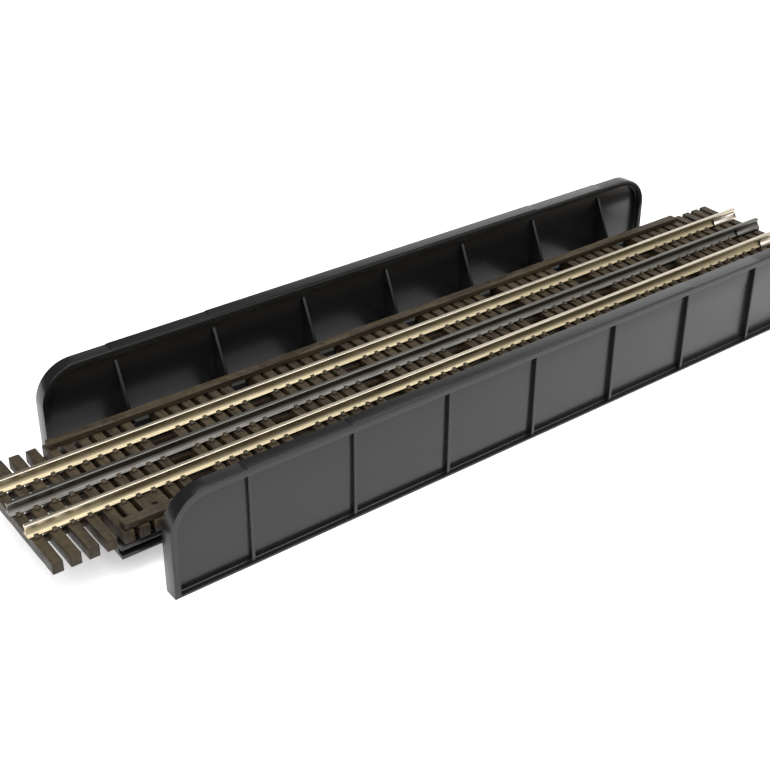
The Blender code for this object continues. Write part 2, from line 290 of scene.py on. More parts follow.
def i_beam_outline(
    width: float, bottom: float, height: float, skin: float, web: float
) -> np.ndarray:
    """Outline of an I-beam with soft edges and a fillet between web and flanges.

    Args:
        width: width of both flanges.
        bottom: height of its underside.
        height: its depth.
        skin: thickness of both flanges.
        web: thickness of the web.
    Returns:
        The outline, counter-clockwise.
    """
    top = bottom + height
    edge, fillet = skin * 0.2, min(0.5, (width - web) / 5)
    corners, radii = mirrored_outline(
        [
            (width / 2, bottom, edge),
            (width / 2, bottom + skin, edge),
            (web / 2, bottom + skin, fillet),
            (web / 2, top - skin, fillet),
            (width / 2, top - skin, edge),
            (width / 2, top, edge),
        ]
    )
    return softened(corners, radii, 3)


# Pieces ----------------------------------------------------------------------------------------


@dataclass
class Piece:
    """A finished mesh with the body it rides on, its slot and the CAD nodes it stands for."""

    name: str
    shape: Shape
    slot: Slot
    finish: bpy.types.Material
    nodes: tuple[str, ...]
    body: str = "bridge"

    def make(self) -> None:
        """Make the object, with its place in its mesh, and hand it to the frame."""
        mesh = bpy.data.meshes.new(self.name)
        mesh.from_pydata((self.shape.points * MM).tolist(), [], self.shape.faces)
        shell = bmesh.new()
        shell.from_mesh(mesh)
        bmesh.ops.remove_doubles(shell, verts=shell.verts, dist=DOUBLES * MM)
        bmesh.ops.recalc_face_normals(shell, faces=shell.faces)
        shell.to_mesh(mesh)
        shell.free()
        mesh.polygons.foreach_set("use_smooth", np.ones(len(mesh.polygons), bool))
        mesh.set_sharp_from_angle(angle=SMOOTH_BELOW)
        mesh.materials.append(self.finish)
        piece = bpy.data.objects.new(self.name, mesh)
        bpy.context.scene.collection.objects.link(piece)
        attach(piece, self.body)
        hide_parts(*self.nodes)
        log.info("%s: %d faces on %s", self.name, len(mesh.polygons), self.body)


# Finishes --------------------------------------------------------------------------------------


MIX_SHARE, MIX_FIRST, MIX_SECOND = 0, 6, 7  # a colour Mix node's inputs
MIX_COLOUR = 2  # and its output
MOST = (0.3, 0.7)  # range that holds most of a noise's values
WARM_DUST = (0.12, 0.1, 0.075, 1.0)


@dataclass
class NodeBoard:
    """Short ways to place and wire nodes on one material, world or node group."""

    tree: bpy.types.NodeTree

    def add(self, kind: str, **settings: object) -> bpy.types.Node:
        """Place a node and set its properties.

        Args:
            kind: the node's type name.
            settings: the properties, by name.
        Returns:
            The node.
        """
        node = self.tree.nodes.new(kind)
        for name, value in settings.items():
            setattr(node, name, value)
        return node

    def feed(self, socket: bpy.types.NodeSocket, source: object) -> None:
        """Link a socket to another one, or give it a plain value.

        Args:
            socket: the input to feed.
            source: an output, or the value.
        """
        if isinstance(source, bpy.types.NodeSocket):
            self.tree.links.new(source, socket)
        else:
            socket.default_value = source

    def math(self, operation: str, first: object, second: object = 0.0) -> bpy.types.NodeSocket:
        """Place a Math node.

        Args:
            operation: its operation's name.
            first: its first value or socket.
            second: its second value or socket.
        Returns:
            Its result.
        """
        node = self.add("ShaderNodeMath", operation=operation)
        self.feed(node.inputs[0], first)
        self.feed(node.inputs[1], second)
        return node.outputs[0]

    def noise(
        self, vector: object, scale: object, detail: float = 3.0, roughness: float = 0.5
    ) -> bpy.types.NodeSocket:
        """Place a Noise node.

        Args:
            vector: the coordinates that it reads.
            scale: how fine it is, in features for each metre.
            detail: octaves of finer noise.
            roughness: share of each finer octave.
        Returns:
            Its value, about 0.5 on average.
        """
        node = self.add("ShaderNodeTexNoise")
        self.feed(node.inputs["Vector"], vector)
        self.feed(node.inputs["Scale"], scale)
        node.inputs["Detail"].default_value = detail
        node.inputs["Roughness"].default_value = roughness
        return node.outputs["Fac"]

    def ranged(
        self, value: object, low: float, high: float, start: float = 0.0, end: float = 1.0
    ) -> bpy.types.NodeSocket:
        """Map a value from one range to another, smoothly and with its ends held.

        Args:
            value: the value or socket to map.
            low: value that gives start.
            high: value that gives end.
            start: result at and below low.
            end: result at and above high.
        Returns:
            The mapped value.
        """
        node = self.add("ShaderNodeMapRange", interpolation_type="SMOOTHSTEP")
        self.feed(node.inputs["Value"], value)
        for name, number in zip(
            ("From Min", "From Max", "To Min", "To Max"), (low, high, start, end)
        ):
            self.feed(node.inputs[name], number)
        return node.outputs["Result"]

    def blend(self, share: object, first: object, second: object) -> bpy.types.NodeSocket:
        """Mix two colours.

        Args:
            share: share of the second colour, from 0 to 1.
            first: the first colour.
            second: the second colour.
        Returns:
            The mixed colour.
        """
        node = self.add("ShaderNodeMix", data_type="RGBA")
        self.feed(node.inputs[MIX_SHARE], share)
        self.feed(node.inputs[MIX_FIRST], first)
        self.feed(node.inputs[MIX_SECOND], second)
        return node.outputs[MIX_COLOUR]

    def stretched(self, vector: object, scale: tuple[float, float, float]) -> bpy.types.NodeSocket:
        """Multiply coordinates along each axis.

        Args:
            vector: the coordinates.
            scale: factor along X, Y and Z.
        Returns:
            The stretched coordinates.
        """
        node = self.add("ShaderNodeVectorMath", operation="MULTIPLY")
        self.feed(node.inputs[0], vector)
        self.feed(node.inputs[1], scale)
        return node.outputs[0]


def new_group(name: str, inputs: dict[str, float], outputs: tuple[str, ...]) -> NodeBoard:
    """Start a shader node group.

    Args:
        name: the effect's name.
        inputs: named values and what they start as.
        outputs: named values that the group gives.
    Returns:
        A board on the group, which holds only its input and output nodes, named In and Out.
    """
    tree = bpy.data.node_groups.new(name, "ShaderNodeTree")
    tree.interface.new_socket("Vector", in_out="INPUT", socket_type="NodeSocketVector")
    for label, value in inputs.items():
        socket = tree.interface.new_socket(label, in_out="INPUT", socket_type="NodeSocketFloat")
        socket.default_value = value
    for label in outputs:
        tree.interface.new_socket(label, in_out="OUTPUT", socket_type="NodeSocketFloat")
    board = NodeBoard(tree)
    board.add("NodeGroupInput", name="In")
    board.add("NodeGroupOutput", name="Out")
    return board


def moulded_skin_group() -> bpy.types.NodeTree:
    """Skin of moulded plastic: a fine eggshell texture and broad flow marks.

    Returns:
        The group, with the outputs Texture and Flow.
    """
    board = new_group("moulded_skin", {"Grain": 2600.0, "Flow": 22.0}, ("Texture", "Flow"))
    given = board.tree.nodes["In"].outputs
    result = board.tree.nodes["Out"].inputs
    fine = board.noise(given["Vector"], given["Grain"], 2.0)
    coarse = board.noise(given["Vector"], board.math("MULTIPLY", given["Grain"], 0.22), 2.0)
    board.feed(result["Texture"], board.math("ADD", fine, board.math("MULTIPLY", coarse, 0.6)))
    long_marks = board.stretched(given["Vector"], (0.35, 1.0, 1.0))
    board.feed(result["Flow"], board.noise(long_marks, given["Flow"], 3.0, 0.55))
    return board.tree


def timber_group() -> bpy.types.NodeTree:
    """Moulded timber: long fibres, broad light and dark boards, and small checks.

    Returns:
        The group, with the outputs Fibre, Board and Check. X of its vector runs along the grain.
    """
    board = new_group("timber", {"Fibre": 900.0, "Board": 60.0}, ("Fibre", "Board", "Check"))
    given = board.tree.nodes["In"].outputs
    result = board.tree.nodes["Out"].inputs
    along = board.stretched(given["Vector"], (0.07, 1.0, 1.0))
    board.feed(result["Fibre"], board.noise(along, given["Fibre"], 3.0, 0.6))
    board.feed(result["Board"], board.noise(along, given["Board"], 2.0, 0.5))
    checks = board.noise(along, board.math("MULTIPLY", given["Fibre"], 0.55), 1.0, 0.4)
    board.feed(result["Check"], board.ranged(checks, 0.62, 0.7))
    return board.tree


def dust_group() -> bpy.types.NodeTree:
    """Dust that settles on faces that look up.

    Returns:
        The group, with the output Dust.
    """
    board = new_group("dust", {"Scale": 140.0, "Amount": 0.3}, ("Dust",))
    given = board.tree.nodes["In"].outputs
    geometry = board.add("ShaderNodeNewGeometry")
    facing = board.add("ShaderNodeSeparateXYZ")
    board.feed(facing.inputs[0], geometry.outputs["Normal"])
    up = board.ranged(facing.outputs["Z"], 0.35, 0.95)
    patches = board.ranged(board.noise(given["Vector"], given["Scale"], 4.0, 0.65), 0.35, 0.75)
    dust = board.math("MULTIPLY", board.math("MULTIPLY", up, patches), given["Amount"])
    board.feed(board.tree.nodes["Out"].inputs["Dust"], dust)
    return board.tree


def drawn_streaks_group() -> bpy.types.NodeTree:
    """Fine lines that drawing leaves along a metal section, and blotches of tarnish.

    Returns:
        The group, with the outputs Streak and Tarnish.
    """
    board = new_group("drawn_streaks", {"Streak": 2200.0, "Tarnish": 160.0}, ("Streak", "Tarnish"))
    given = board.tree.nodes["In"].outputs
    result = board.tree.nodes["Out"].inputs
    lines = board.stretched(given["Vector"], (0.012, 1.0, 1.0))
    board.feed(result["Streak"], board.noise(lines, given["Streak"], 2.0, 0.6))
    blotches = board.stretched(given["Vector"], (0.5, 1.0, 1.0))
    board.feed(result["Tarnish"], board.noise(blotches, given["Tarnish"], 4.0, 0.6))
    return board.tree


@dataclass
class EffectGroups:
    """The node groups that the finishes share."""

    skin: bpy.types.NodeTree = field(default_factory=moulded_skin_group)
    timber: bpy.types.NodeTree = field(default_factory=timber_group)
    dust: bpy.types.NodeTree = field(default_factory=dust_group)
    streaks: bpy.types.NodeTree = field(default_factory=drawn_streaks_group)


Colour = tuple[float, float, float, float]


@dataclass
class Palette:
    """One material's board, with its shader and its object coordinates."""

    name: str
    groups: EffectGroups

    def __post_init__(self) -> None:
        """Make the material and keep its shader and coordinates."""
        self.material = bpy.data.materials.new(self.name)
        self.material.use_nodes = True
        self.board = NodeBoard(self.material.node_tree)
        self.shader = self.material.node_tree.nodes["Principled BSDF"]
        self.place = self.board.add("ShaderNodeTexCoord").outputs["Object"]

    def effect(self, tree: bpy.types.NodeTree, vector: object, **values: float) -> bpy.types.Node:
        """Place a shared effect with its own values.

        Args:
            tree: the effect's group.
            vector: coordinates that it reads.
            values: the group's named inputs.
        Returns:
            The group's node.
        """
        node = self.board.add("ShaderNodeGroup", node_tree=tree)
        self.board.feed(node.inputs["Vector"], vector)
        for label, value in values.items():
            node.inputs[label].default_value = value
        return node

    def height(self, value: object, distance: float, strength: float = 1.0) -> None:
        """Feed a height map to the shader's normal.

        Args:
            value: the height map.
            distance: its depth in millimetres.
            strength: share of the effect.
        """
        bump = self.board.add("ShaderNodeBump")
        bump.inputs["Strength"].default_value = strength
        bump.inputs["Distance"].default_value = distance * MM
        self.board.feed(bump.inputs["Height"], value)
        self.board.feed(self.shader.inputs["Normal"], bump.outputs["Normal"])

    def surface(self, colour: object, roughness: object, metallic: float = 0.0) -> None:
        """Feed the shader.

        Args:
            colour: its base colour.
            roughness: its roughness.
            metallic: how metallic it is.
        """
        self.board.feed(self.shader.inputs["Base Color"], colour)
        self.board.feed(self.shader.inputs["Roughness"], roughness)
        self.shader.inputs["Metallic"].default_value = metallic


@dataclass(frozen=True)
class BlackPlastic:
    """Satin black moulded plastic."""

    deep: Colour = (0.0045, 0.0045, 0.005, 1.0)
    greyed: Colour = (0.0082, 0.0082, 0.0086, 1.0)
    dusty: Colour = (0.045, 0.043, 0.04, 1.0)
    gloss: float = 0.245  # middle of its roughness
    ior: float = 1.53

    def material(self, groups: EffectGroups) -> bpy.types.Material:
        """Build the finish.

        Args:
            groups: the shared effects.
        Returns:
            The material.
        """
        paint = Palette("satin_black_plastic", groups)
        board = paint.board
        skin = paint.effect(groups.skin, paint.place, Grain=2400.0, Flow=24.0)
        dust = paint.effect(groups.dust, paint.place, Scale=170.0, Amount=0.05)
        body = board.blend(skin.outputs["Flow"], self.deep, self.greyed)
        colour = board.blend(dust.outputs["Dust"], body, self.dusty)
        smooth, dull = self.gloss - 0.03, self.gloss + 0.04
        rough = board.ranged(skin.outputs["Flow"], *MOST, smooth, dull)
        paint.surface(colour, rough)
        paint.shader.inputs["IOR"].default_value = self.ior
        paint.height(skin.outputs["Texture"], 0.012, 0.35)
        return paint.material


@dataclass(frozen=True)
class BrownPlastic:
    """Brown moulded plastic with a timber grain."""

    name: str
    grain_turn: float  # turn about Z that lays the grain along the piece, in radians
    dark: Colour = (0.0115, 0.0072, 0.0034, 1.0)
    light: Colour = (0.05, 0.0345, 0.0168, 1.0)
    dusty: Colour = (0.10, 0.075, 0.043, 1.0)
    crack: Colour = (0.012, 0.008, 0.005, 1.0)
    shine: float = 0.35

    def material(self, groups: EffectGroups) -> bpy.types.Material:
        """Build the finish.

        Args:
            groups: the shared effects.
        Returns:
            The material.
        """
        paint = Palette(self.name, groups)
        board = paint.board
        turn = board.add("ShaderNodeMapping")
        turn.inputs["Rotation"].default_value = (0.0, 0.0, self.grain_turn)
        board.feed(turn.inputs["Vector"], paint.place)
        grain = paint.effect(groups.timber, turn.outputs[0], Fibre=1100.0, Board=240.0)
        dust = paint.effect(groups.dust, paint.place, Scale=420.0, Amount=0.32)
        fibre = board.ranged(grain.outputs["Fibre"], *MOST)
        broad = board.ranged(grain.outputs["Board"], 0.36, 0.64)
        share = board.math("MULTIPLY", board.math("ADD", fibre, broad), 0.5)
        body = board.blend(share, self.dark, self.light)
        depth_share = board.math("MULTIPLY", grain.outputs["Check"], 0.6)
        checked = board.blend(depth_share, body, self.crack)
        colour = board.blend(dust.outputs["Dust"], checked, self.dusty)
        paint.surface(colour, board.ranged(share, 0.2, 0.8, 0.5, 0.62))
        paint.shader.inputs["Specular IOR Level"].default_value = self.shine
        depth = board.math("SUBTRACT", grain.outputs["Fibre"], grain.outputs["Check"])
        paint.height(depth, 0.09, 0.8)
        return paint.material


@dataclass(frozen=True)
class DrawnMetal:
    """Drawn rail, rougher on its sides; by height, painted highlight on head and foot, painted
    shade on web.
    """

    name: str
    # Colours: head and foot are lightened as painted highlight; side, and the darker blotch colour
    # on the web, are painted shade mixed with tarnish; toe darkens the foot's edge.
    head: Colour
    side: Colour
    web_shade_and_tarnish: Colour
    foot: Colour
    toe: Colour
    gloss: float  # middle of the head's roughness
    # Heights above the rail's bottom over which the colour below gives way to this part's.
    to_head: tuple[float, float] = (4.1, 4.6)
    to_web: tuple[float, float] = (1.9, 2.7)
    to_foot: tuple[float, float] = (0.4, 0.5)
    side_dulling: float = 0.2  # how much rougher the sides are than the head

    def material(self, groups: EffectGroups) -> bpy.types.Material:
        """Build the finish.

        Args:
            groups: the shared effects.
        Returns:
            The material.
        """
        paint = Palette(self.name, groups)
        board = paint.board
        lines = paint.effect(groups.streaks, paint.place, Streak=1900.0, Tarnish=170.0)
        dust = paint.effect(groups.dust, paint.place, Scale=380.0, Amount=0.12)
        split = board.add("ShaderNodeSeparateXYZ")
        board.feed(split.inputs[0], paint.place)
        # Height bands: painted highlight on the head and the foot's top, painted shade down the
        # web, darker at the foot's edge.
        below_head, below_web, in_toe = (
            board.ranged(
                split.outputs["Z"], (RAIL_BOTTOM + low) * MM, (RAIL_BOTTOM + high) * MM, 1.0, 0.0
            )
            for low, high in (self.to_head, self.to_web, self.to_foot)
        )
        tarnish = board.ranged(lines.outputs["Tarnish"], 0.35, 0.7)
        # The web's painted shade, blotched by tarnish.
        web = board.blend(tarnish, self.side, self.web_shade_and_tarnish)
        head = board.blend(board.math("MULTIPLY", tarnish, 0.25), self.head, self.side)
        foot = board.blend(board.math("MULTIPLY", tarnish, 0.5), self.foot, self.side)
        lower = board.blend(in_toe, board.blend(below_web, web, foot), self.toe)
        metal = board.blend(below_head, head, lower)
        strong_lines = board.ranged(lines.outputs["Streak"], 0.55, 0.8, 0.0, 0.35)
        streaked = board.blend(strong_lines, metal, self.side)
        colour = board.blend(dust.outputs["Dust"], streaked, WARM_DUST)
        smooth, dull = self.gloss - 0.05, self.gloss + 0.1
        rough = board.ranged(lines.outputs["Streak"], *MOST, smooth, dull)
        rough = board.math("ADD", rough, board.math("MULTIPLY", below_head, self.side_dulling))
        paint.surface(colour, rough, 1.0)
        paint.height(lines.outputs["Streak"], 0.01, 0.5)
        return paint.material


@dataclass(frozen=True)
class SheetMetal:
    """Bright folded sheet with a faint warm tint."""

    bright: Colour = (0.78, 0.71, 0.62, 1.0)
    dull: Colour = (0.52, 0.45, 0.38, 1.0)
    gloss: float = 0.33  # middle of its roughness

    def material(self, groups: EffectGroups) -> bpy.types.Material:
        """Build the finish.

        Args:
            groups: the shared effects.
        Returns:
            The material.
        """
        paint = Palette("pale_sheet_metal", groups)
        board = paint.board
        lines = paint.effect(groups.streaks, paint.place, Streak=1500.0, Tarnish=260.0)
        tarnish = board.ranged(lines.outputs["Tarnish"], 0.4, 0.75)
        colour = board.blend(tarnish, self.bright, self.dull)
        smooth, dull = self.gloss - 0.06, self.gloss + 0.1
        rough = board.ranged(lines.outputs["Streak"], *MOST, smooth, dull)
        paint.surface(colour, rough, 1.0)
        paint.height(lines.outputs["Streak"], 0.008, 0.4)
        return paint.material


# Girders ---------------------------------------------------------------------------------------


@dataclass
class PlateGirder:
    """Rounded plate girder: flange all round, web, outside stiffeners, stepped cover plates."""

    span: float = 377.6
    centre_y: float = 57.05
    height: float = 46.8
    flange_width: float = 7.4
    flange: float = 2.8
    sole: float = 1.0
    corner: float = 18.0
    corner_steps: int = 17
    lead: float = 0.8  # plain length kept beside each rounded corner
    web: float = 2.0
    web_corner_steps: int = 12
    fillet: float = 0.7
    edge: float = 0.22
    thin_edge: float = 0.05
    rib_width: float = 1.6
    rib_proud: float = 2.0
    rib_edge: float = 0.4
    buried: float = 0.3  # how far the ribs run into the web and the flanges
    cover_step: float = 0.45
    cover_panels: tuple[int, ...] = (3, 2)
    cover_over: float = 1.8
    cover_inset: float = 0.25
    cover_edge: float = 0.16
    cover_root: float = 0.5  # how far the covers run into the flange
    cover_lip: float = 0.05  # how far a ramp starts below the face that it stands on
    ramp: float = 1.3
    ramp_run: tuple[float, ...] = (0.0, 0.15, 0.85, 1.0)
    ramp_rise: tuple[float, ...] = (0.0, 0.12, 0.88, 1.0)

    def flange_section(self) -> np.ndarray:
        """Half of the flange's section, from its outer face to the web on the +Y side.

        A point's depth is its share of the flange's thickness, plus its share of the fillet, plus
        its plain depth. Edges and fillet are quarter circles.

        Returns:
            Share of flange, share of fillet, plain depth and Y of each point.
        """
        half, edge = self.flange_width / 2, self.edge
        turn = np.radians(np.linspace(0.0, 90.0, 4))
        bend = np.radians(np.linspace(0.0, 90.0, 5))
        outer = (0 * turn, 0 * turn, edge * (1 - np.cos(turn)), half - edge * (1 - np.sin(turn)))
        inner_y = half - edge * (1 - np.cos(turn))
        inner = (0 * turn + 1, 0 * turn, edge * (np.sin(turn) - 1), inner_y)
        hollow_y = self.web / 2 + self.fillet * (1 - np.sin(bend))
        hollow = (0 * bend + 1, 1 - np.cos(bend), 0 * bend, hollow_y)
        return np.concatenate([np.column_stack(run) for run in (outer, inner, hollow)])

    def ring(self) -> Shape:
        """Flange carried all round the girder.

        Every point of the section runs round its own rounded rectangle: sides at half span minus
        its depth, bottom at its depth, and upper corners about one centre with radius minus depth.

        Returns:
            The closed ring.
        """
        half_section = self.flange_section()
        section = np.concatenate([half_section, half_section[::-1] * (1.0, 1.0, 1.0, -1.0)])
        side_depth, sole_depth = (
            section[:, 0] * skin + section[:, 1] * self.fillet + section[:, 2]
            for skin in (self.flange, self.sole)
        )
        turn = np.radians(np.linspace(0.0, 90.0, self.corner_steps))[:, None]
        radius = self.corner - side_depth[None, :]
        centre_x, centre_z = self.span / 2 - self.corner, self.height - self.corner
        side_x = self.span / 2 - side_depth
        below = np.full_like(side_x, centre_z - self.lead)
        top_x = np.full_like(side_x, centre_x - self.lead)
        right_x = np.vstack([side_x, side_x, centre_x + radius * np.cos(turn), top_x])
        right_z = np.vstack(
            [sole_depth, below, centre_z + radius * np.sin(turn), self.height - side_depth]
        )
        path_x = np.concatenate([right_x, -right_x[::-1]])
        path_z = np.concatenate([right_z, right_z[::-1]])
        path_y = np.broadcast_to(section[:, 3], path_x.shape)
        return lofted(np.stack([path_x, path_y, path_z], axis=-1), closed=True)

    def web_plate(self) -> Shape:
        """Web that fills the ring, out to the middle of the flanges.

        Returns:
            The plate.
        """
        half = self.span / 2 - self.flange / 2
        turn = np.radians(np.linspace(0.0, 90.0, self.web_corner_steps))
        radius = self.corner - self.flange / 2
        arc_x = self.span / 2 - self.corner + radius * np.cos(turn)
        arc_z = self.height - self.corner + radius * np.sin(turn)
        x = np.concatenate([[half], arc_x, -arc_x[::-1], [-half]])
        z = np.concatenate([[self.sole / 2], arc_z, arc_z[::-1], [self.sole / 2]])
        outline = np.column_stack([x, z])
        return drawn_out(outline, -self.web / 2, self.web / 2, Along.Y, self.thin_edge)

    def ribs(self, outward: float) -> Shape:
        """Stiffeners on the outer face of the web.

        Args:
            outward: -1 for the near girder and 1 for the far one.
        Returns:
            All the stiffeners.
        """
        depths = (self.web / 2 - self.buried, self.web / 2 + self.rib_proud)
        first, last = sorted(outward * depth for depth in depths)
        half_width = self.rib_width / 2
        outline = box_outline((-half_width, first), (half_width, last), self.rib_edge)
        low, high = self.sole - self.buried, self.height - self.flange + self.buried
        rib = drawn_out(outline, low, high, Along.Z, self.thin_edge)
        places = np.array([(station * PANEL, 0.0, 0.0) for station in STATIONS])
        return repeated(rib, places)

    def covers(self) -> Shape:
        """Cover plates on the top flange, one on the other, each with a short ramp at both ends.

        Up a ramp, a ring's height grows from that of the face below to the plate's own.

        Returns:
            Both plates.
        """
        plates = []
        base = self.height - self.cover_root
        rise = np.array(self.ramp_rise + self.ramp_rise[::-1])
        run = np.array(self.ramp_run) * self.ramp
        for layer, panels in enumerate(self.cover_panels, start=1):
            half_length = panels * PANEL + self.cover_over
            half_width = self.flange_width / 2 - self.cover_inset * layer
            full_lift = self.cover_root + self.cover_step * layer
            low_lift = full_lift - self.cover_step - self.cover_lip
            corners = ((-half_width, base), (half_width, base + full_lift))
            flat = box_outline(*corners, self.cover_edge)
            places = np.concatenate([-half_length + run, (half_length - run)[::-1]])
            top = low_lift + (full_lift - low_lift) * rise[:, None]
            up = base + (flat[None, :, 1] - base) / full_lift * top
            across = np.broadcast_to(flat[None, :, 0], up.shape)
            along = np.broadcast_to(places[:, None], up.shape)
            plates.append(lofted(np.stack([along, across, up], axis=-1)))
        return joined(plates)

    def build(self, name: str, side: int, finish: bpy.types.Material) -> None:
        """Make one girder.

        Args:
            name: the CAD node that it stands for.
            side: -1 for the near girder and 1 for the far one.
            finish: its material.
        """
        shape = joined([self.ring(), self.web_plate(), self.ribs(side), self.covers()])
        shape = shape.moved(y=side * self.centre_y)
        Piece(name + "_moulding", shape, Slot.BLACK, finish, (name,)).make()


@dataclass
class FloorSystem:
    """Knee braces, floor beams, stringers and deck plate under the track."""

    web_inner_y: float = 56.05
    beam_bottom: float = 1.3
    beam_height: float = 8.6
    beam_flange: float = 8.0
    beam_skin: float = 1.4
    beam_web: float = 1.6
    brace_thick: float = 1.6
    brace_top: float = 40.4
    brace_toe_y: float = 41.6
    brace_ledge: float = 0.5
    brace_shift: float = 0.7  # how far a brace stands to the right of its stiffener
    brace_edge: float = 0.3
    brace_corners: tuple[float, ...] = (0.1, 0.01, 0.01, 0.2, 0.2)
    half_length: float = 199.0
    stringer_height: float = 6.2
    stringer_width: float = 8.0
    stringer_skin: float = 1.9
    stringer_web: float = 1.8
    stringer_y: float = 34.1
    track_stringer_width: float = 6.0
    track_stringer_skin: float = 1.1
    track_stringer_web: float = 1.4
    deck_thick: float = 1.5

    @property
    def stringer_bottom(self) -> float:
        """Height of the stringers' underside."""
        return self.beam_bottom + self.beam_height + FIT_GAP

    def knee_brace(self) -> Shape:
        """Sloped plate beside a girder's web, on the far side.

        Returns:
            The plate of the middle station.
        """
        back, low = self.web_inner_y, self.stringer_bottom
        corners = [
            (self.brace_toe_y, low),
            (back, low),
            (back, self.brace_top),
            (back - FIT_GAP - self.brace_ledge, self.brace_top),
            (self.brace_toe_y, low + self.brace_ledge),
        ]
        outline = softened(np.array(corners), self.brace_corners, 3)
        half = self.brace_thick / 2
        return drawn_out(outline, -half, half, Along.X, self.brace_edge)

    def build(self, plastic: bpy.types.Material) -> None:
        """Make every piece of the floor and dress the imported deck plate.

        Args:
            plastic: the finish of all of them.
        """
        brace = self.knee_brace()
        for side_name, shape in (("near", brace.mirrored_y()), ("far", brace)):
            for number, station in enumerate(STATIONS, start=1):
                node = f"{side_name}_knee_brace_{number}"
                placed = shape.moved(x=station * PANEL + self.brace_shift)
                Piece(node + "_plate", placed, Slot.BLACK, plastic, (node,)).make()
        outline = i_beam_outline(
            self.beam_flange, self.beam_bottom, self.beam_height, self.beam_skin, self.beam_web
        )
        reach = self.web_inner_y - FIT_GAP
        beam = drawn_out(outline, -reach, reach, Along.Y)
        for number, station in enumerate(STATIONS, start=1):
            node, placed = f"floor_beam_{number}", beam.moved(x=station * PANEL)
            Piece(node + "_section", placed, Slot.BLACK, plastic, (node,)).make()
        bottom, height = self.stringer_bottom, self.stringer_height
        edge_beam = i_beam_outline(
            self.stringer_width, bottom, height, self.stringer_skin, self.stringer_web
        )
        over_deck = self.deck_thick + FIT_GAP
        inner_beam = i_beam_outline(
            self.track_stringer_width,
            bottom + over_deck,
            height - over_deck,
            self.track_stringer_skin,
            self.track_stringer_web,
        )
        for side_name, side in (("near", -1), ("far", 1)):
            for node, outline, y in (
                (side_name + "_outer_stringer", edge_beam, side * self.stringer_y),
                (side_name + "_track_stringer", inner_beam, side * RAIL_Y),
            ):
                shape = drawn_out(outline, -self.half_length, self.half_length, Along.X)
                Piece(node + "_section", shape.moved(y=y), Slot.BLACK, plastic, (node,)).make()
        for slot in bpy.data.objects["deck_plate"].material_slots:
            slot.material = plastic


# Track -----------------------------------------------------------------------------------------


RAILS = np.array([-RAIL_Y, 0.0, RAIL_Y])
NEAR_FACE = 0.2  # a point this near a face moves with it
SPIKE_HEAD = (  # across from the edge of the rail's foot, and up from the tie
    (-0.75, 0.92),
    (0.05, 0.7),
    (0.06, -0.1),
    (1.5, -0.1),
    (1.4, 0.7),
    (0.4, 1.3),
    (-0.6, 1.38),
)


